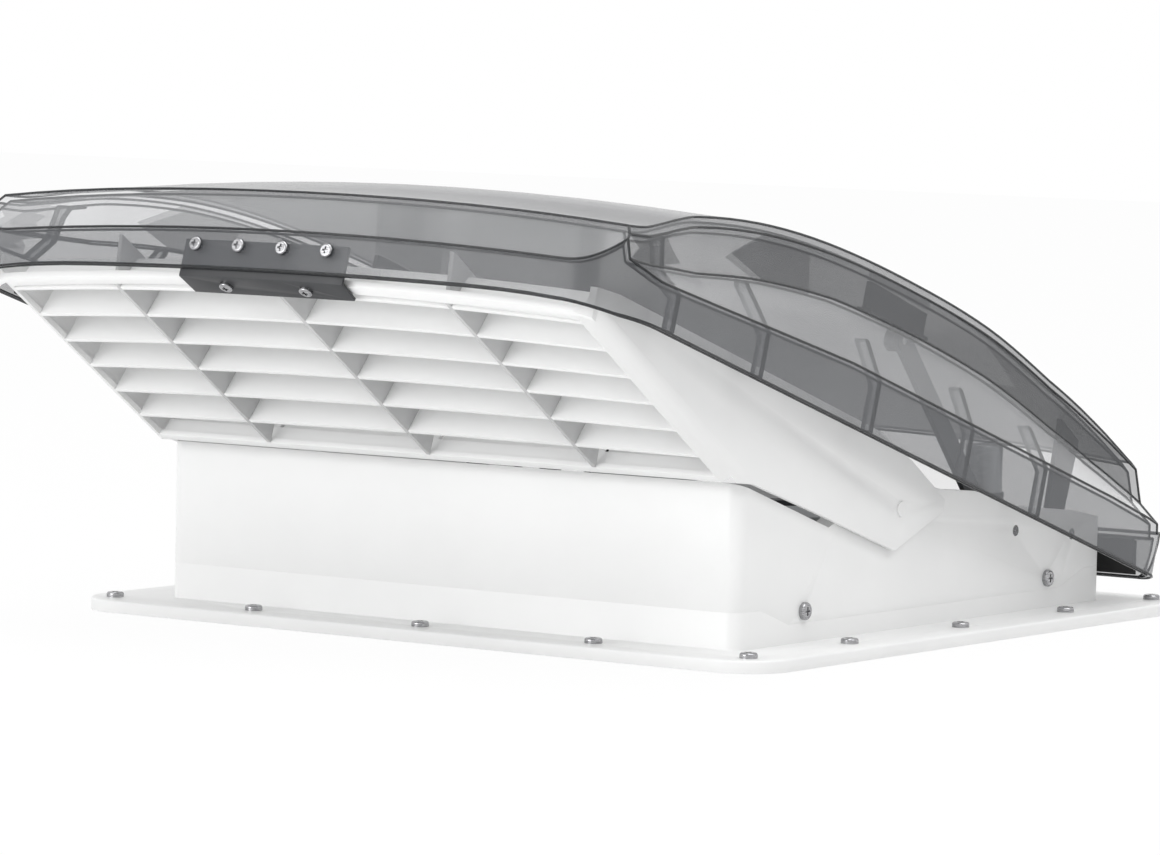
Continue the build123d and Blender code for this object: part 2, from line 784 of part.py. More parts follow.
# Link plate that ties the hood to the lid's front edge
link_face = lid_wall + seat_gap
link_turn = radians(link_slope - lid_open_angle)
low_start = (-(lid_front - link_face), link_upper_bottom - lid_drop)
low_plane = Plane(
    origin=lid_plane.from_local_coords((0, low_start[0], low_start[1])),
    x_dir=(1, 0, 0),
    z_dir=lid_plane.z_dir.rotate(Axis.X, -degrees(link_turn)),
)

with BuildPart() as link_plate:
    with BuildSketch(lid_level(link_upper_bottom)):
        add(lid_outline(link_face))
        add(lid_outline(link_face + link_thick), mode=Mode.SUBTRACT)
        with Locations((0, -lid_front)):
            Rectangle(2 * link_half, lid_front, mode=Mode.INTERSECT)
    extrude(amount=link_upper)
    with BuildSketch(low_plane):
        with BuildLine():
            Polyline((-link_half, 0), (link_half, 0), (link_half - link_lower_slant, link_lower),
                     (-link_half + link_lower_slant, link_lower), close=True)
        make_face()
    extrude(amount=link_thick)
    add(lid_column(link_face, -lid_front, lid_crown), mode=Mode.INTERSECT)
    with BuildSketch(lid_station(-lid_front - overrun)):
        with Locations(*[(place, link_screw_height) for place in link_screw_places]):
            Circle(link_shank_radius + hole_clear)
    extrude(amount=-2 * overrun, mode=Mode.SUBTRACT)
    with BuildSketch(low_plane.offset(-overrun)):
        with Locations((-link_low_screw_half, link_lower / 2), (link_low_screw_half, link_lower / 2)):
            Circle(link_shank_radius + hole_clear)
    extrude(amount=2 * overrun, mode=Mode.SUBTRACT)
write_out(link_plate, "link_plate")

with BuildPart() as link_screws:
    for across in link_screw_places:
        turn = asin(across / front_radius)
        place = (front_radius * sin(turn), front_radius * (1 - cos(turn)) - lid_front,
                 link_screw_height - lid_drop)
        outward = lid_plane.x_dir * sin(turn) - lid_plane.y_dir * cos(turn)
        plane = Plane(origin=lid_plane.from_local_coords(place), x_dir=lid_plane.z_dir, z_dir=outward)
        add(pan_screw(plane.offset(bow_seat), link_head_radius, link_head_height, link_shank_radius,
                      lid_wall + link_thick + link_shank_tail))
write_out(link_screws, "link_screws")

with BuildPart() as hood_link_screws:
    for side in (-1, 1):
        place = low_plane.from_local_coords((side * link_low_screw_half, link_lower / 2, 0))
        plane = Plane(origin=place, x_dir=(1, 0, 0), z_dir=-low_plane.z_dir)
        add(pan_screw(plane, link_head_radius, link_head_height, link_shank_radius,
                      link_thick + link_low_tail))
write_out(hood_link_screws, "hood_link_screws")

# Rain hood
arm_outline = [(y * hood_bottom_y, z * hood_bottom_z) for y, z in arm_shares]
arm_top = [(y * hood_bottom_y, z * hood_bottom_z) for y, z in (arm_top_front_share, arm_top_end_share)]
hood_outline = [(-hood_top_y, hood_top_z), (-hood_bottom_y, hood_bottom_z)] + arm_outline + arm_top
hood_plane = Plane(
    origin=(0, -hood_bottom_y, hood_bottom_z),
    x_dir=(1, 0, 0),
    z_dir=(0, -sin(hood_slope), -cos(hood_slope)),
)
panel_length = hypot(hood_run, hood_rise)
window_half = hood_half - hood_window_side


def panel_lowered(lift):
    """Side view of all that lies above the louvre panel's outer face, moved up by a lift."""
    far = hood_run + 2 * overrun
    low = (-hood_bottom_y + overrun, hood_bottom_z - overrun * hood_grade + lift)
    high = (-hood_bottom_y - far, hood_bottom_z + far * hood_grade + lift)
    return [high, low, (low[0], high[1] + far), (high[0], high[1] + far)]


hood_inset = lid_wall + hood_lid_gap
with BuildPart() as window_column:
    with BuildSketch(hood_plane.offset(overrun)):
        with Locations((0, (hood_window_bottom + panel_length) / 2)):
            Rectangle(2 * window_half, panel_length - hood_window_bottom)
    extrude(amount=-2 * overrun - louvre_height)
    add(lid_column(hood_inset + hood_window_top, -lid_front, lid_crown + overrun), mode=Mode.INTERSECT)

with BuildPart() as hood_lip:
    add(lid_column(hood_inset, -lid_front, lid_crown + overrun))
    add(lid_column(hood_inset + hood_wall, -lid_front, lid_crown + overrun), mode=Mode.SUBTRACT)
    add(side_prism(hood_outline, hood_half), mode=Mode.INTERSECT)
    add(box_between((-hood_half, -flange_side, 0), (hood_half, -hood_lip_end, flange_side)),
        mode=Mode.INTERSECT)

with BuildPart() as hood_core:
    add(side_prism(panel_lowered(hood_wall / cos(hood_slope)), hood_half - hood_wall))
    slanted = hood_core.edges().filter_by(Axis((0, 0, 0), (0, -hood_run, hood_rise)))
    fillet(slanted.group_by(Axis((0, 0, 0), hood_plane.z_dir))[-1], hood_corner - hood_wall)

with BuildPart() as hood_frame:
    add(side_prism(hood_outline, hood_half))
    slanted = hood_frame.edges().filter_by(Axis((0, 0, 0), (0, -hood_run, hood_rise)))
    fillet(slanted.group_by(Axis((0, 0, 0), hood_plane.z_dir))[-1], hood_corner)
    add(hood_core.part, mode=Mode.SUBTRACT)
    add(box_between((-hood_half + hood_wall, -hood_bottom_y, 0),
                    (hood_half - hood_wall, overrun, hood_top_z)), mode=Mode.SUBTRACT)
    add(window_column.part, mode=Mode.SUBTRACT)
    add(hood_lip.part)
    add(cross_pin(hood_pin_radius + run_gap, -hood_half - overrun, hood_half + overrun,
                  -hood_pivot_y, hood_pivot_z), mode=Mode.SUBTRACT)
    add(lid_column(hood_inset, -lid_front, lid_crown + overrun), mode=Mode.INTERSECT)
write_out(hood_frame, "hood_frame")

with BuildPart() as hood_pins:
    for side in (-1, 1):
        place = (-hood_pivot_y, hood_pivot_z)
        collar_face = wall_inner_half - seat_gap
        collar_end = collar_face - hood_pin_collar_length
        add(cross_pin(hood_pin_radius, *sorted((side * collar_face, side * (hood_half + hood_pin_proud))), *place))
        add(cross_pin(hood_pin_collar, *sorted((side * collar_end, side * collar_face)), *place))
write_out(hood_pins, "hood_pins")

# Louvres: upright slats that step up the hood, and the dividers between their columns
row_step = louvre_pitch / hood_grade
panel_slab = side_prism(panel_lowered(0), flange_side) - side_prism(panel_lowered(louvre_height), flange_side)
divider_slab = side_prism(panel_lowered(0), flange_side) - side_prism(panel_lowered(divider_depth), flange_side)

with BuildPart() as louvre_dividers:
    for column in (-1, 0, 1):
        middle = column * divider_spacing
        add(side_prism(panel_lowered(0), divider_thick / 2).moved(Location((middle, 0, 0))))
    add(divider_slab, mode=Mode.INTERSECT)
    add(window_column.part, mode=Mode.INTERSECT)
write_out(louvre_dividers, "louvre_dividers")

with BuildPart() as louvre_slats:
    for row in range(louvre_rows):
        bow = louvre_bow * (row + 1) / louvre_rows
        face = -hood_bottom_y - row_step * row - louvre_start
        back = face + louvre_thick
        with BuildSketch():
            with BuildLine():
                ThreePointArc((-hood_half, face + bow), (0, face), (hood_half, face + bow))
                Line((hood_half, face + bow), (hood_half, back + bow))
                ThreePointArc((hood_half, back + bow), (0, back), (-hood_half, back + bow))
                Line((-hood_half, back + bow), (-hood_half, face + bow))
            make_face()
        extrude(amount=hood_top_z + overrun)
    add(panel_slab, mode=Mode.INTERSECT)
    add(window_column.part, mode=Mode.INTERSECT)
    add(louvre_dividers.part, mode=Mode.SUBTRACT)
write_out(louvre_slats, "louvre_slats")

# Lid hinge brackets and pins
def lid_side(x):
    """Upright plane along the lid through its hinge, with the hinge at its origin."""
    return Plane(origin=(x, lid_hinge_y, lid_hinge_z), x_dir=lid_plane.y_dir, z_dir=(1, 0, 0))


for side, label in ((-1, "lid_bracket_left"), (1, "lid_bracket_right")):
    low = min(side * bracket_inner, side * bracket_outer)
    with BuildPart() as lid_bracket:
        with BuildSketch(lid_side(low)):
            with BuildLine():
                Polyline((-bracket_eye_radius, 0), (bracket_eye_radius, 0),
                         (bracket_half_length, lid_crown), (-bracket_half_length, lid_crown), close=True)
            make_face()
            Circle(bracket_eye_radius)
            Circle(hinge_pin_radius + run_gap, mode=Mode.SUBTRACT)
        extrude(amount=bracket_thick)
        add(seat_cavity, mode=Mode.INTERSECT)
    write_out(lid_bracket, label)

with BuildPart() as hinge_pins:
    for side in (-1, 1):
        head_face = bracket_inner - seat_gap
        add(cross_pin(hinge_pin_radius, *sorted((side * head_face, side * housing_half)),
                      lid_hinge_y, lid_hinge_z))
        add(cross_pin(hinge_pin_head_radius, *sorted((side * (head_face - hinge_pin_head), side * head_face)),
                      lid_hinge_y, lid_hinge_z))
write_out(hinge_pins, "hinge_pins")

# Lift arms, rollers and rails
open_turn = radians(lift_angle_open)
roller_y = lift_pivot_y - lift_length * cos(open_turn)
roller_z = lift_pivot_z + lift_length * sin(open_turn)
arm_middle = ((lift_pivot_y + roller_y) / 2, (lift_pivot_z + roller_z) / 2)
roller_spot = lid_plane.to_local_coords(Vector(0, roller_y, roller_z))
closed_turn = radians(lift_angle_closed)
closed_spot = (lift_pivot_y - lift_length * cos(closed_turn), lift_pivot_z + lift_length * sin(closed_turn))
rail_middle = (roller_spot.Y + closed_spot[0] - lid_hinge_y) / 2
rail_level = roller_spot.Z + roller_radius + rail_gap
roller_outer = arm_inner - moving_gap
roller_inner = roller_outer - roller_width
wheel_low = gear_x - wheel_width / 2
wheel_high = gear_x + wheel_width / 2
case_low = wheel_low - gearbox_room - gearbox_wall
case_high = wheel_high + gearbox_room + gearbox_wall

for side, label in ((-1, "left"), (1, "right")):
    with BuildPart() as lift_arm:
        with BuildSketch(Plane.YZ.offset(min(side * arm_inner, side * arm_outer))):
            with Locations(arm_middle):
                SlotCenterToCenter(lift_length, lift_arm_width, rotation=-lift_angle_open)
            with Locations((lift_pivot_y, lift_pivot_z)):
                Circle(lift_pin_radius + run_gap, mode=Mode.SUBTRACT)
            with Locations((roller_y, roller_z)):
                Circle(roller_pin_radius + run_gap, mode=Mode.SUBTRACT)
        extrude(amount=lift_arm_thick)
    write_out(lift_arm, f"lift_arm_{label}")

    pin_inner = wheel_low - gearbox_room if side > 0 else arm_inner - lift_pin_tail
    with BuildPart() as lift_pin:
        add(cross_pin(lift_pin_radius, *sorted((side * pin_inner, side * housing_half)),
                      lift_pivot_y, lift_pivot_z))
    write_out(lift_pin, f"lift_pin_{label}")

    with BuildPart() as roller:
        add(cross_pin(roller_radius, *sorted((side * roller_inner, side * roller_outer)), roller_y, roller_z))
        add(cross_pin(roller_pin_radius + run_gap, -flange_half, flange_half, roller_y, roller_z),
            mode=Mode.SUBTRACT)
    write_out(roller, f"roller_{label}")

    with BuildPart() as roller_pin:
        head_face = roller_inner - moving_gap
        add(cross_pin(roller_pin_radius, *sorted((side * head_face, side * arm_outer)), roller_y, roller_z))
        add(cross_pin(roller_pin_head, *sorted((side * (head_face - roller_pin_head_height), side * head_face)),
                      roller_y, roller_z))
    write_out(roller_pin, f"roller_pin_{label}")

with BuildPart() as lift_rails:
    for side in (-1, 1):
        middle = side * (roller_inner + roller_outer) / 2
        with BuildSketch(lid_plane.offset(rail_level)):
            with Locations((middle, rail_middle)):
                Rectangle(rail_width, rail_length)
        extrude(amount=rail_foot)
        with BuildSketch(lid_plane.offset(rail_level)):
            with Locations((middle, rail_middle)):
                Rectangle(rail_web, rail_length)
        extrude(amount=lid_crown)
    add(seat_cavity, mode=Mode.INTERSECT)
write_out(lift_rails, "lift_rails")

# Lid drive: worm wheel on the right arm's pin, upright worm, motor and room side knob
def wheel_outline():
    """Points round the worm wheel, two at each tooth's tip and two at each root."""
    points = []
    for tooth in range(wheel_teeth):
        for part_share, radius in ((0.0, wheel_radius - tooth_depth), (0.25, wheel_radius - tooth_depth),
                                   (0.45, wheel_radius), (0.8, wheel_radius)):
            turn = 2 * pi * (tooth + part_share) / wheel_teeth
            points.append((lift_pivot_y + radius * cos(turn), lift_pivot_z + radius * sin(turn)))
    return points


with BuildPart() as worm_wheel:
    add(side_plate(wheel_outline(), wheel_low, wheel_high))
    add(cross_pin(lift_pin_radius + run_gap, case_low, case_high, lift_pivot_y, lift_pivot_z),
        mode=Mode.SUBTRACT)
write_out(worm_wheel, "worm_wheel")

case_top = lift_pivot_z + wheel_radius + gearbox_room + gearbox_wall
case_front = lift_pivot_y - wheel_radius - gearbox_room - gearbox_wall
case_rear = worm_y + worm_radius + gearbox_room + gearbox_wall
with BuildPart() as gearbox_case:
    add(box_between((case_low, case_front, deck_top), (case_high, case_rear, case_top)))
    add(box_between((case_low + gearbox_wall, case_front + gearbox_wall, 0),
                    (case_high - gearbox_wall, case_rear - gearbox_wall, case_top - gearbox_wall)),
        mode=Mode.SUBTRACT)
    add(cross_pin(lift_pin_radius + run_gap, case_low + gearbox_wall, case_high + overrun,
                  lift_pivot_y, lift_pivot_z), mode=Mode.SUBTRACT)
    add(upright_pin(worm_shaft_radius + run_gap, gear_x, worm_y, deck_top, case_top + overrun),
        mode=Mode.SUBTRACT)
write_out(gearbox_case, "gearbox_case")

knob_top = knob_bottom + knob_height
worm_half = wheel_radius - tooth_depth
shaft_low = knob_bottom + knob_skin
shaft_high = case_top + lift_bearing_depth - seat_gap
with BuildPart() as worm_shaft:
    add(upright_pin(worm_shaft_radius, gear_x, worm_y, shaft_low, shaft_high))
    add(upright_pin(worm_radius, gear_x, worm_y, lift_pivot_z - worm_half, lift_pivot_z + worm_half))
    for step in range(worm_turns):
        level = lift_pivot_z + worm_half * (2 * step + 1 - worm_turns) / worm_turns
        with BuildSketch(Plane.XY.offset(level - worm_groove / 2)):
            with Locations((gear_x, worm_y)):
                Circle(worm_radius)
                Circle(worm_radius - worm_groove, mode=Mode.SUBTRACT)
        extrude(amount=worm_groove, mode=Mode.SUBTRACT)
write_out(worm_shaft, "worm_shaft")

with BuildPart() as lift_motor:
    add(upright_pin(lift_motor_radius, gear_x, worm_y, case_top, case_top + lift_motor_height))
    fillet(lift_motor.faces().sort_by(Axis.Z)[-1].edges(), motor_cap_wall)
    add(upright_pin(worm_shaft_radius + run_gap, gear_x, worm_y, case_top, case_top + lift_bearing_depth),
        mode=Mode.SUBTRACT)
write_out(lift_motor, "lift_motor")

with BuildPart() as lid_knob:
    with BuildSketch(Plane.XY.offset(knob_bottom)):
        with Locations((gear_x, worm_y)):
            Circle(knob_radius)
            with PolarLocations(knob_radius, knob_flutes):
                Circle(flute_radius, mode=Mode.SUBTRACT)
    extrude(amount=knob_height)
    add(upright_pin(worm_shaft_radius, gear_x, worm_y, shaft_low, knob_top + overrun), mode=Mode.SUBTRACT)
write_out(lid_knob, "lid_knob")

# Control pod under the deck, with its buttons and board
pod_top = deck_bottom
board_low = pod_bottom + button_flange + board_clear
pod_middle = (-pod_centre, -pod_centre)
button_places = [(-1, "lid_button"), (0, "fan_button"), (1, "speed_button")]
with BuildPart() as control_case:
    with BuildSketch(Plane.XY.offset(pod_bottom)):
        with Locations(pod_middle):
            Rectangle(2 * pod_half, 2 * pod_half)
            Rectangle(2 * (pod_half - pod_wall), 2 * (pod_half - pod_wall), mode=Mode.SUBTRACT)
    extrude(amount=pod_top - pod_bottom)
    with BuildSketch(Plane.XY.offset(board_low + board_thick)):
        with Locations(pod_middle):
            with GridLocations(2 * (pod_half - pod_wall), 2 * (pod_half - pod_wall), 2, 2):
                Rectangle(2 * pod_wall, 2 * pod_wall)
    extrude(amount=pod_top - board_low - board_thick)
write_out(control_case, "control_case")

with BuildPart() as control_fascia:
    with BuildSketch(Plane.XY.offset(pod_bottom - fascia_thick)):
        with Locations(pod_middle):
            RectangleRounded(2 * pod_half, 2 * pod_half, fascia_thick)
            for place, label in button_places:
                with Locations((0, place * button_spacing)):
                    Rectangle(2 * (button_half_length + button_clear), 2 * (button_half_width + button_clear),
                              mode=Mode.SUBTRACT)
    extrude(amount=fascia_thick)
write_out(control_fascia, "control_fascia")

flange_low = pod_bottom + button_rest
stem_top = board_low - button_travel - seat_gap
for place, label in button_places:
    with BuildPart() as button:
        with BuildSketch(Plane.XY.offset(pod_bottom - fascia_thick - button_proud)):
            with Locations((-pod_centre, -pod_centre + place * button_spacing)):
                RectangleRounded(2 * button_half_length, 2 * button_half_width, button_flange)
        extrude(amount=fascia_thick + button_proud + button_rest + button_flange)
        with BuildSketch(Plane.XY.offset(flange_low)):
            with Locations((-pod_centre, -pod_centre + place * button_spacing)):
                Rectangle(2 * (button_half_length + button_flange), 2 * (button_half_width + button_lip))
        extrude(amount=button_flange)
        with BuildSketch(Plane.XY.offset(flange_low)):
            with Locations((-pod_centre, -pod_centre + place * button_spacing)):
                Circle(button_stem_radius)
        extrude(amount=stem_top - flange_low)
    write_out(button, label)

with BuildPart() as circuit_board:
    with BuildSketch(Plane.XY.offset(board_low)):
        with Locations(pod_middle):
            Rectangle(2 * (pod_half - pod_wall - seat_gap), 2 * (pod_half - pod_wall - seat_gap))
    extrude(amount=board_thick)
write_out(circuit_board, "circuit_board")

# Insect screen and its turn clips
with BuildPart() as screen_frame:
    with BuildSketch(Plane.XY.offset(screen_bottom)):
        Circle(screen_outer)
    extrude(amount=screen_frame_thick)
    with BuildSketch(Plane.XY.offset(screen_bottom)):
        Circle(screen_inner)
    extrude(amount=screen_frame_thick, mode=Mode.SUBTRACT)
    with BuildSketch(Plane.XY.offset(screen_bottom + screen_ledge)):
        Circle(screen_inner + screen_ledge_width)
    extrude(amount=screen_frame_thick, mode=Mode.SUBTRACT)
write_out(screen_frame, "screen_frame")

with BuildPart() as screen_mesh:
    with BuildSketch(Plane.XY.offset(screen_bottom + screen_ledge)):
        Circle(screen_inner + screen_ledge_width - seat_gap)
        holes = int(screen_inner / mesh_pitch)
        for i in range(-holes, holes + 1):
            for j in range(-holes, holes + 1):
                if hypot(abs(i) + 0.5, abs(j) + 0.5) * mesh_pitch < screen_inner:
                    with Locations((i * mesh_pitch, j * mesh_pitch)):
                        Rectangle(mesh_pitch - mesh_bar, mesh_pitch - mesh_bar, mode=Mode.SUBTRACT)
    extrude(amount=mesh_thick)
write_out(screen_mesh, "screen_mesh")

for number, turn in enumerate(clip_places, 1):
    with BuildPart() as screen_clip:
        spot = Plane.XY.rotated((0, 0, turn)).offset(screen_bottom - moving_gap)
        with BuildSketch(spot):
            with Locations((clip_orbit - clip_reach / 2, 0)):
                Rectangle(clip_reach, clip_width)
            with Locations((clip_orbit, 0)):
                Circle(clip_width / 2)
        extrude(amount=-clip_thick)
        with BuildSketch(spot):
            with Locations((clip_orbit, 0)):
                Circle(clip_pin_radius)
        extrude(amount=clip_pin_length)
    write_out(screen_clip, f"screen_clip_{number}")
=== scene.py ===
"""Looks of the caravan roof vent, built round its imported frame."""
import json
from math import cos, radians, sin

import bmesh
import bpy
from mathutils import Matrix, Vector


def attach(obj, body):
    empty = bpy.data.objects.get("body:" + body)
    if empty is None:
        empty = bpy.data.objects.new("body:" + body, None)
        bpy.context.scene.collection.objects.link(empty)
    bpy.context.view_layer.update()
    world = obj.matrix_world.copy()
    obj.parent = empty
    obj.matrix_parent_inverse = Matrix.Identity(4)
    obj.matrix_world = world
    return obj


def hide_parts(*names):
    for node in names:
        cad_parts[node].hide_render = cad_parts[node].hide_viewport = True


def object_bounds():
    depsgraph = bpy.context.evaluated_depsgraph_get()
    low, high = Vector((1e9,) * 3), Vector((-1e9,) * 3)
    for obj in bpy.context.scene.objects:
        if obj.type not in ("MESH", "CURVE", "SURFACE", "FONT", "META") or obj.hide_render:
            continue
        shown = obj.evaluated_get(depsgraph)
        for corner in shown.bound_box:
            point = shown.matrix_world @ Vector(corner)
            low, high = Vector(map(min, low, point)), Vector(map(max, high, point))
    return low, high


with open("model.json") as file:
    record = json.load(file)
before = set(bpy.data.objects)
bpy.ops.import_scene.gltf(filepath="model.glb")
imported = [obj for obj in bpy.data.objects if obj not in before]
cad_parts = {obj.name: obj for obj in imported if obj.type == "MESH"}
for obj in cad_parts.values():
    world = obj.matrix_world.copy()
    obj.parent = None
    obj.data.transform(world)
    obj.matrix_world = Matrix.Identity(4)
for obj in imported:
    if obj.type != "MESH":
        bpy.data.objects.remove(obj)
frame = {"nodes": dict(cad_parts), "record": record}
cad_low, cad_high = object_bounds()
nodes = frame["nodes"]
node_body = {n: b for b, members in frame["record"]["behaviour"]["bodies"].items() for n in members}
MM = 0.001

# Camera fitted to the photograph: image width, focal length in pixels, place and turn
IMAGE_WIDTH = 1160
FOCAL_PIXELS = 6001.45
SENSOR = 36.0
CAMERA_PLACE = Vector((1.82665, -2.69132, 0.33935))
CAMERA_RIGHT = Vector((0.82020473, 0.57168842, 0.02089386))
CAMERA_UP = Vector((-0.05925192, 0.04856887, 0.99706082))
CAMERA_BACK = Vector((0.56899333, -0.819032, 0.07371006))

# Light levels and floor
FLOOR_SIZE = 12.0
FLOOR_DROP = 0.0005
FLOOR_GLOW = 0.96
FLOOR_COLOUR = (0.86, 0.86, 0.86, 1)
FLOOR_ROUGHNESS = 0.9
STUDIO_WHITE = (1.0, 1.0, 1.0, 1)
WORLD_STRENGTH = 0.6
KEY_POWER = 37.0
FILL_POWER = 17.0
TOP_POWER = 36.0

# Lid frame when open: hinge, tilt, and the drop of its rim below the hinge
LID_HINGE = Vector((0.0, 0.148, 0.045))
LID_TILT = radians(17.4)
LID_DROP = 0.010
# Ridge heights along the lid, the stations that its straight facets run between
LID_PLACES = (0.0, 0.028, 0.080, 0.171, 0.280, 0.394, 0.537, 0.681, 0.803, 0.882, 0.951, 1.0)
LID_HEIGHTS = (0.36, 0.44, 0.52, 0.72, 0.87, 0.955, 0.99, 0.967, 0.865, 0.768, 0.635, 0.53)
LID_SPAN = 0.576
LID_START = -0.517
LID_CUTS = 44
LID_ALONG = Vector((0, cos(LID_TILT), -sin(LID_TILT)))
LID_UP = Vector((0, sin(LID_TILT), cos(LID_TILT)))
# The rim's height, the band above it where the smooth curve sets in, and how far a wall's normal turns
# up in an upright wall and in a sloping facet. The rim's height and the leans also pick the lid faces
# that get the painted light tints
RIM_HEIGHT = 0.030
CURVE_BAND = 0.020
UPRIGHT_LEAN = 0.3
FACET_LEANS = (0.18, 0.75)
LID_SMOOTH_ANGLE = 13.0
# Dark lines along the lid's edges: least turn between walls, radius, sides, shortest edge, and a
# direction that no edge follows
LINE_ANGLE = 18.0
LINE_RADIUS = 0.7 * MM
LINE_SIDES = 5
LINE_SHORTEST = 0.4 * MM
LINE_ACROSS = Vector((0.31, 0.52, 0.79))
# Louvre blades lean back from their lips, and the dividers reach behind them
LIP_Y, LIP_Z, PANEL_GRADE = -0.1946, 0.0925, 0.6746
BLADE_LEAN = 1.05
BLADE_GROW = 1.16
DIVIDER_GROW = 1.75
# Hood pivot, its turn when shut, and the housing's front face that the blades then stay clear of
HOOD_PIVOT_Y, HOOD_PIVOT_Z = -0.037, 0.070
HOOD_SHUT = radians(27.075)
HOUSING_FACE = -0.1846
LOW_BLADES_TOP = 0.125
# Welding, flattening and rounding of the copied CAD pieces
WELD_DISTANCE = 0.00002
FLAT_ANGLE = 0.6
ROUNDED_ANGLE = 32.0
BEVEL_SEGMENTS = 2
EDGES = {"housing": 0.9, "roof_flange": 0.5, "hood_frame": 0.7, "link_plate": 0.35}
SLAT_EDGE, DIVIDER_EDGE = 0.4, 0.3


def new_material(name):
    """An empty node material with its shader and output."""
    material = bpy.data.materials.new(name)
    material.use_nodes = True
    tree = material.node_tree
    tree.nodes.clear()
    output = tree.nodes.new("ShaderNodeOutputMaterial")
    shader = tree.nodes.new("ShaderNodeBsdfPrincipled")
    tree.links.new(shader.outputs["BSDF"], output.inputs["Surface"])
    return material, tree, shader


def noise(tree, scale, detail=4.0, rough=0.5, stretch=None):
    """A noise texture in object space, in cycles per metre."""
    place = tree.nodes.new("ShaderNodeTexCoord")
    texture = tree.nodes.new("ShaderNodeTexNoise")
    texture.inputs["Scale"].default_value = scale
    texture.inputs["Detail"].default_value = detail
    texture.inputs["Roughness"].default_value = rough
    if stretch:
        mapping = tree.nodes.new("ShaderNodeMapping")
        mapping.inputs["Scale"].default_value = stretch
        tree.links.new(place.outputs["Object"], mapping.inputs["Vector"])
        tree.links.new(mapping.outputs["Vector"], texture.inputs["Vector"])
    else:
        tree.links.new(place.outputs["Object"], texture.inputs["Vector"])
    return texture.outputs["Fac"]


def remap(tree, value, low, high):
    """Map 0 to 1 onto a range."""
    node = tree.nodes.new("ShaderNodeMapRange")
    node.inputs["To Min"].default_value = low
    node.inputs["To Max"].default_value = high
    tree.links.new(value, node.inputs["Value"])
    return node.outputs["Result"]


def two_tone(tree, value, dark, light):
    """A ramp between two colours over the middle of the noise's range."""
    ramp = tree.nodes.new("ShaderNodeValToRGB")
    ramp.color_ramp.elements[0].position = 0.3
    ramp.color_ramp.elements[0].color = (*dark, 1)
    ramp.color_ramp.elements[1].position = 0.7
    ramp.color_ramp.elements[1].color = (*light, 1)
    tree.links.new(value, ramp.inputs["Fac"])
    return ramp.outputs["Color"]


def bump(tree, shader, height, distance, strength):
    """Bump from a height value."""
    node = tree.nodes.new("ShaderNodeBump")
    node.inputs["Distance"].default_value = distance
    node.inputs["Strength"].default_value = strength
    tree.links.new(height, node.inputs["Height"])
    tree.links.new(node.outputs["Normal"], shader.inputs["Normal"])


def moulded(name, dark, light, roughness, grain, depth, strength):
    """Moulded plastic: faint flow marks in the colour, fine grain in the surface."""
    material, tree, shader = new_material(name)
    flow = noise(tree, 14.0, 5.0)
    tree.links.new(two_tone(tree, flow, dark, light), shader.inputs["Base Color"])
    gloss = remap(tree, noise(tree, 60.0), roughness - 0.05, roughness + 0.06)
    tree.links.new(gloss, shader.inputs["Roughness"])
    shader.inputs["Specular IOR Level"].default_value = 0.5
    bump(tree, shader, noise(tree, grain, 3.0), depth, strength)
    return material


def metal(name, dark, light, roughness, stretch, grain):
    """Metal with a directional grain."""
    material, tree, shader = new_material(name)
    brushed = noise(tree, grain, 5.0, 0.6, stretch=stretch)
    tree.links.new(two_tone(tree, brushed, dark, light), shader.inputs["Base Color"])
    tree.links.new(remap(tree, brushed, roughness - 0.08, roughness + 0.1), shader.inputs["Roughness"])
    shader.inputs["Metallic"].default_value = 1.0
    bump(tree, shader, brushed, 0.00005, 0.25)
    return material


def smoke_acrylic(name, dark, light, clear, full):
    """See-through smoke grey acrylic, with a tint that deepens where it is seen edge on."""
    material, tree, shader = new_material(name)
    facing = tree.nodes.new("ShaderNodeLayerWeight")
    facing.inputs["Blend"].default_value = 0.35
    tree.links.new(remap(tree, facing.outputs["Facing"], clear, full), shader.inputs["Alpha"])
    haze = noise(tree, 5.0, 3.0)
    tree.links.new(two_tone(tree, haze, dark, light), shader.inputs["Base Color"])
    tree.links.new(remap(tree, noise(tree, 90.0), 0.13, 0.19), shader.inputs["Roughness"])
    shader.inputs["Specular IOR Level"].default_value = 0.42
    shader.inputs["Coat Weight"].default_value = 0.06
    shader.inputs["Coat Roughness"].default_value = 0.04
    bump(tree, shader, noise(tree, 12.0, 1.0), 0.0002, 0.06)
    return material


white = moulded("white_abs", (0.835, 0.838, 0.836), (0.868, 0.870, 0.867), 0.36, 900.0, 0.00005, 0.35)
# Darker white for the louvre dividers: painted shade on their side faces between the blades, though they are
# the same plastic as the rest
painted_shade_white = moulded("white_abs_painted_shade", (0.500, 0.503, 0.505), (0.560, 0.563, 0.565), 0.5, 800.0, 0.00006,
                      0.35)
white_inner = moulded("white_abs_matt", (0.800, 0.804, 0.802), (0.840, 0.843, 0.840), 0.5, 700.0, 0.00006, 0.4)
black = moulded("black_nylon", (0.016, 0.016, 0.017), (0.030, 0.030, 0.032), 0.48, 800.0, 0.00006, 0.5)
rubber = moulded("black_rubber", (0.012, 0.012, 0.012), (0.024, 0.024, 0.024), 0.72, 500.0, 0.0001, 0.5)
plate = moulded("grey_coat", (0.022, 0.023, 0.026), (0.034, 0.036, 0.040), 0.46, 1200.0, 0.00004, 0.5)
rotor = moulded("rotor_plastic", (0.42, 0.43, 0.44), (0.50, 0.51, 0.52), 0.45, 800.0, 0.00005, 0.4)
board = moulded("circuit_board", (0.010, 0.075, 0.035), (0.018, 0.110, 0.050), 0.4, 2500.0, 0.00008, 0.6)
steel = metal("stainless", (0.24, 0.24, 0.25), (0.50, 0.50, 0.51), 0.24, (1.0, 1.0, 6.0), 300.0)
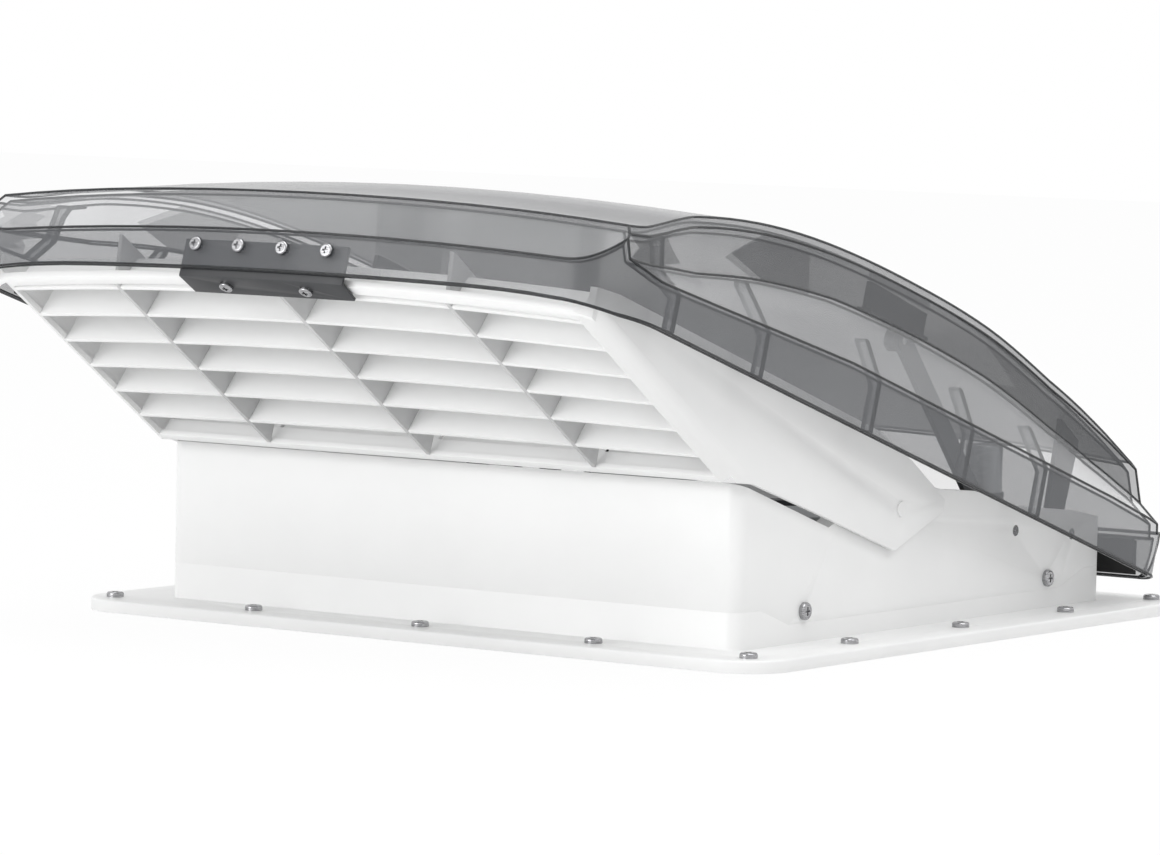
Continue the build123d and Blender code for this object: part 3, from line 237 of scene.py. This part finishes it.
zinc = metal("zinc_plate", (0.36, 0.37, 0.38), (0.52, 0.53, 0.54), 0.38, (1.0, 1.0, 8.0), 200.0)
mesh_wire = metal("mesh_wire", (0.30, 0.30, 0.31), (0.42, 0.42, 0.43), 0.42, (8.0, 8.0, 1.0), 400.0)
smoke = smoke_acrylic("smoke_acrylic", (0.070, 0.073, 0.079), (0.105, 0.109, 0.117), 0.38, 0.86)
# Lighter smoke tints for the lid's rim and its sloping facets: painted light, where more brightness shows
# through
smoke_rim_painted_light = smoke_acrylic("smoke_acrylic_rim_painted_light", (0.150, 0.155, 0.166), (0.200, 0.206, 0.218), 0.25, 0.76)
smoke_facet_painted_light = smoke_acrylic("smoke_acrylic_facet_painted_light", (0.420, 0.428, 0.442), (0.520, 0.528, 0.542), 0.08, 0.46)
smoke_edge = smoke_acrylic("smoke_acrylic_edge", (0.010, 0.011, 0.013), (0.024, 0.026, 0.029), 0.80, 0.96)

finishes = {
    white: ["roof_flange", "housing", "hood_frame", "louvre_slats", "hood_pins"],
    painted_shade_white: ["louvre_dividers"],
    white_inner: ["fan_shroud", "lid_knob", "control_case", "control_fascia", "screen_frame",
                  "screen_clip_1", "screen_clip_2", "screen_clip_3"],
    black: ["motor_cap", "lid_bracket_left", "lid_bracket_right", "roller_left", "roller_right", "lift_rails",
            "worm_wheel", "gearbox_case", "lid_button", "fan_button", "speed_button"],
    rubber: ["rear_seal"],
    plate: ["link_plate", "motor_bracket", "lift_arm_left", "lift_arm_right"],
    rotor: ["fan_rotor"],
    board: ["circuit_board"],
    steel: ["roof_screws", "housing_screws", "link_screws", "hood_link_screws", "bracket_screws", "hinge_pins",
            "lift_pin_left", "lift_pin_right", "roller_pin_left", "roller_pin_right", "motor_shaft",
            "worm_shaft", "rotor_nut"],
    zinc: ["motor_can", "lift_motor"],
    mesh_wire: ["screen_mesh"],
    smoke: ["lid_shell"],
}


def set_material(obj, material):
    """Give every slot of an object one material."""
    if not obj.data.materials:
        obj.data.materials.append(material)
    for place in obj.material_slots:
        place.material = material


for material, names in finishes.items():
    for name in names:
        set_material(nodes[name], material)


def curve_value(place):
    """Straight and smooth readings of the ridge height at a share of the lid's length."""
    place = min(max(place, 0.0), 1.0)
    index = max(i for i in range(len(LID_PLACES) - 1) if LID_PLACES[i] <= place)
    span = LID_PLACES[index + 1] - LID_PLACES[index]
    share = (place - LID_PLACES[index]) / span
    grades = []
    for i in (index, index + 1):
        before, after = max(i - 1, 0), min(i + 1, len(LID_PLACES) - 1)
        grades.append((LID_HEIGHTS[after] - LID_HEIGHTS[before]) / (LID_PLACES[after] - LID_PLACES[before]))
    low, high = LID_HEIGHTS[index], LID_HEIGHTS[index + 1]
    straight = low + (high - low) * share
    smooth = ((2 * share ** 3 - 3 * share ** 2 + 1) * low
              + (share ** 3 - 2 * share ** 2 + share) * span * grades[0]
              + (3 * share ** 2 - 2 * share ** 3) * high + (share ** 3 - share ** 2) * span * grades[1])
    return straight, smooth


def rounded_lid(shape):
    """Cut the lid's straight facets into short ones and draw them onto a smooth curve along the lid."""
    for cut in range(1, LID_CUTS):
        place = LID_START + LID_SPAN * cut / LID_CUTS
        bmesh.ops.bisect_plane(shape, geom=shape.verts[:] + shape.edges[:] + shape.faces[:], dist=1e-6,
                               plane_co=LID_HINGE + LID_ALONG * place, plane_no=LID_ALONG)
    for vert in shape.verts:
        local = vert.co - LID_HINGE
        height = local.dot(LID_UP) + LID_DROP
        straight, smooth = curve_value((local.dot(LID_ALONG) - LID_START) / LID_SPAN)
        hold = min(max((height - RIM_HEIGHT) / CURVE_BAND, 0.0), 1.0)
        vert.co += LID_UP * height * (smooth / straight - 1.0) * hold


def lid_painted_light_tints(piece):
    """Give the lid's rim and its sloping facets lighter tints, painted light for the brightness that shows
    through them.
    """
    for tint in (smoke_rim_painted_light, smoke_facet_painted_light):
        piece.data.materials.append(tint)
    rim_place, facet_place = len(piece.data.materials) - 2, len(piece.data.materials) - 1
    for polygon in piece.data.polygons:
        height = (polygon.center - LID_HINGE).dot(LID_UP) + LID_DROP
        lean = abs(polygon.normal.dot(LID_UP))
        if height < RIM_HEIGHT and lean < UPRIGHT_LEAN:
            polygon.material_index = rim_place
        elif FACET_LEANS[0] < lean < FACET_LEANS[1]:
            polygon.material_index = facet_place


def edge_lines(piece):
    """Thin dark lines where the see-through walls meet, as one mesh."""
    shape = bmesh.new()
    shape.from_mesh(piece.data)
    points, faces = [], []
    for edge in shape.edges:
        if len(edge.link_faces) != 2 or edge.calc_length() < LINE_SHORTEST:
            continue
        if edge.calc_face_angle(0.0) < radians(LINE_ANGLE):
            continue
        start, end = edge.verts[0].co, edge.verts[1].co
        along = (end - start).normalized()
        side = along.cross(LINE_ACROSS).normalized()
        other = along.cross(side)
        base = len(points)
        for end_point in (start, end):
            for corner in range(LINE_SIDES):
                turn = radians(360.0 / LINE_SIDES * corner)
                points.append(end_point + (side * cos(turn) + other * sin(turn)) * LINE_RADIUS)
        for corner in range(LINE_SIDES):
            after = (corner + 1) % LINE_SIDES
            faces.append((base + corner, base + after,
                          base + LINE_SIDES + after, base + LINE_SIDES + corner))
    shape.free()
    mesh = bpy.data.meshes.new("lid_edge_lines")
    mesh.from_pydata(points, [], faces)
    for polygon in mesh.polygons:
        polygon.use_smooth = True
    lines = bpy.data.objects.new("lid_edge_lines", mesh)
    bpy.context.scene.collection.objects.link(lines)
    mesh.materials.append(smoke_edge)
    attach(lines, "lid")


def leaned_blades(shape):
    """Lean the louvre blades back from their lips."""
    for vert in shape.verts:
        lift = vert.co.z - LIP_Z + (vert.co.y - LIP_Y) * PANEL_GRADE
        vert.co.y += lift * BLADE_LEAN
        vert.co.z += lift * (BLADE_GROW - 1.0)
        shut = (HOOD_PIVOT_Y + (vert.co.y - HOOD_PIVOT_Y) * cos(HOOD_SHUT)
                - (vert.co.z - HOOD_PIVOT_Z) * sin(HOOD_SHUT))
        if vert.co.z < LOW_BLADES_TOP:
            vert.co.y -= max(shut - HOUSING_FACE, 0.0) / cos(HOOD_SHUT)


def deepened_dividers(shape):
    """Draw the dividers' rear edges back behind the leaning blades."""
    for vert in shape.verts:
        lift = vert.co.z - LIP_Z + (vert.co.y - LIP_Y) * PANEL_GRADE
        vert.co.z += lift * (DIVIDER_GROW - 1.0)


def softened(name, edge, angle=ROUNDED_ANGLE, shaping=None):
    """A copy of a CAD piece with welded faces and rounded edges, which stands in for it."""
    source = nodes[name]
    mesh = source.data.copy()
    mesh.name = name + "_look"
    shape = bmesh.new()
    shape.from_mesh(mesh)
    bmesh.ops.remove_doubles(shape, verts=shape.verts, dist=WELD_DISTANCE)
    bmesh.ops.dissolve_limit(shape, angle_limit=radians(FLAT_ANGLE), verts=shape.verts, edges=shape.edges,
                             delimit={"MATERIAL"})
    if shaping:
        shaping(shape)
    shape.to_mesh(mesh)
    shape.free()
    if mesh.attributes.get("custom_normal"):
        mesh.attributes.remove(mesh.attributes["custom_normal"])
    piece = bpy.data.objects.new(name + "_look", mesh)
    bpy.context.scene.collection.objects.link(piece)
    if edge > 0:
        bevel = piece.modifiers.new("edges", "BEVEL")
        bevel.width = edge
        bevel.segments = BEVEL_SEGMENTS
        bevel.limit_method = "ANGLE"
        bevel.angle_limit = radians(angle)
        bevel.harden_normals = False
        bevel.use_clamp_overlap = True
    bpy.context.view_layer.update()
    view = piece.evaluated_get(bpy.context.evaluated_depsgraph_get())
    done = bpy.data.meshes.new_from_object(view)
    piece.modifiers.clear()
    piece.data = done
    for polygon in done.polygons:
        polygon.use_smooth = True
    done.set_sharp_from_angle(angle=radians(angle))
    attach(piece, node_body[name])
    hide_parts(name)
    return piece


for name, edge in EDGES.items():
    softened(name, edge * MM)
softened("louvre_slats", SLAT_EDGE * MM, shaping=leaned_blades)
softened("louvre_dividers", DIVIDER_EDGE * MM, shaping=deepened_dividers)
lid_look = softened("lid_shell", 0.0, angle=LID_SMOOTH_ANGLE, shaping=rounded_lid)
lid_painted_light_tints(lid_look)
edge_lines(lid_look)


def white_block(name, corners_yz, x_low, x_high, body):
    """A white board across the vent with the given side outline."""
    count = len(corners_yz)
    mesh = bpy.data.meshes.new(name)
    ring = list(range(count))
    mesh.from_pydata([(x, y, z) for x in (x_low, x_high) for y, z in corners_yz], [],
                     [ring, [i + count for i in reversed(ring)]]
                     + [(i, i + count, (i + 1) % count + count, (i + 1) % count) for i in ring])
    shape = bmesh.new()
    shape.from_mesh(mesh)
    bmesh.ops.recalc_face_normals(shape, faces=shape.faces)
    shape.to_mesh(mesh)
    shape.free()
    board_piece = bpy.data.objects.new(name, mesh)
    bpy.context.scene.collection.objects.link(board_piece)
    mesh.materials.append(white)
    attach(board_piece, body)


# Sill board behind the lowest louvre blade, and liners inside the housing's sides
SILL = ((-0.1976, 0.0957), (-0.1906, 0.1030), (-0.1896, 0.1022), (-0.1966, 0.0948))
SILL_HALF = 0.177
white_block("louvre_sill", SILL, -SILL_HALF, SILL_HALF, "hood")
LINER = ((-0.176, 0.034), (-0.176, 0.082), (-0.120, 0.062), (-0.092, 0.062), (-0.092, 0.034))
LINER_NEAR, LINER_FAR = 0.1775, 0.1790
white_block("liner_right", LINER, LINER_NEAR, LINER_FAR, "base")
white_block("liner_left", LINER, -LINER_FAR, -LINER_NEAR, "base")


# Floor, light and camera
def seen_white(tree, lit, share):
    """Mix plain white into what the camera, gloss and glass see, and keep the rest lit."""
    path = tree.nodes.new("ShaderNodeLightPath")
    most = path.outputs["Is Camera Ray"]
    for other in ("Is Glossy Ray", "Is Transmission Ray"):
        larger = tree.nodes.new("ShaderNodeMath")
        larger.operation = "MAXIMUM"
        tree.links.new(most, larger.inputs[0])
        tree.links.new(path.outputs[other], larger.inputs[1])
        most = larger.outputs["Value"]
    weight = tree.nodes.new("ShaderNodeMath")
    weight.operation = "MULTIPLY"
    weight.inputs[1].default_value = share
    tree.links.new(most, weight.inputs[0])
    mix = tree.nodes.new("ShaderNodeMixShader")
    tree.links.new(weight.outputs["Value"], mix.inputs["Fac"])
    tree.links.new(lit, mix.inputs[1])
    return mix


def pale_ground():
    """Pale floor, nearly white to the camera, that keeps the vent's shadow."""
    material, tree, shader = new_material("pale_ground")
    shader.inputs["Base Color"].default_value = FLOOR_COLOUR
    shader.inputs["Roughness"].default_value = FLOOR_ROUGHNESS
    glow = tree.nodes.new("ShaderNodeEmission")
    glow.inputs["Strength"].default_value = 1.0
    mix = seen_white(tree, shader.outputs["BSDF"], FLOOR_GLOW)
    tree.links.new(glow.outputs["Emission"], mix.inputs[2])
    surface = next(n for n in tree.nodes if n.type == "OUTPUT_MATERIAL")
    tree.links.new(mix.outputs["Shader"], surface.inputs["Surface"])
    return material


floor_mesh = bpy.data.meshes.new("floor")
half = FLOOR_SIZE / 2
floor_corners = [(-half, -half, 0), (half, -half, 0), (half, half, 0), (-half, half, 0)]
floor_mesh.from_pydata(floor_corners, [], [(0, 1, 2, 3)])
floor = bpy.data.objects.new("floor", floor_mesh)
floor.location.z = cad_low[2] - FLOOR_DROP
bpy.context.scene.collection.objects.link(floor)
floor.data.materials.append(pale_ground())

world = bpy.data.worlds.new("studio")
bpy.context.scene.world = world
world.use_nodes = True
tree = world.node_tree
tree.nodes.clear()
output = tree.nodes.new("ShaderNodeOutputWorld")
soft = tree.nodes.new("ShaderNodeBackground")
soft.inputs["Color"].default_value = STUDIO_WHITE
soft.inputs["Strength"].default_value = WORLD_STRENGTH
seen = tree.nodes.new("ShaderNodeBackground")
seen.inputs["Color"].default_value = STUDIO_WHITE
seen.inputs["Strength"].default_value = 1.0
mix = seen_white(tree, soft.outputs["Background"], 1.0)
tree.links.new(seen.outputs["Background"], mix.inputs[2])
tree.links.new(mix.outputs["Shader"], output.inputs["Surface"])


def area_light(name, place, target, size, power):
    """A square soft light aimed at a point."""
    data = bpy.data.lights.new(name, "AREA")
    data.shape = "SQUARE"
    data.size = size
    data.energy = power
    lamp = bpy.data.objects.new(name, data)
    lamp.location = place
    lamp.rotation_euler = (Vector(target) - Vector(place)).to_track_quat("-Z", "Y").to_euler()
    bpy.context.scene.collection.objects.link(lamp)


area_light("key", (-0.9, -2.9, 0.75), (0, -0.1, 0.1), 1.8, KEY_POWER)
area_light("fill", (1.7, -0.1, 2.1), (0, 0, 0.1), 1.4, FILL_POWER)
area_light("top", (0.1, -0.5, 2.7), (0, -0.1, 0.1), 1.8, TOP_POWER)

camera_data = bpy.data.cameras.new("photo_camera")
camera_data.sensor_width = SENSOR
camera_data.lens = FOCAL_PIXELS * SENSOR / IMAGE_WIDTH
camera_data.clip_end = 100.0
camera = bpy.data.objects.new("photo_camera", camera_data)
turn = Matrix((CAMERA_RIGHT, CAMERA_UP, CAMERA_BACK)).transposed()
camera.matrix_world = Matrix.Translation(CAMERA_PLACE) @ turn.to_4x4()
bpy.context.scene.collection.objects.link(camera)
bpy.context.scene.camera = camera
bpy.context.scene.view_settings.view_transform = "Standard"
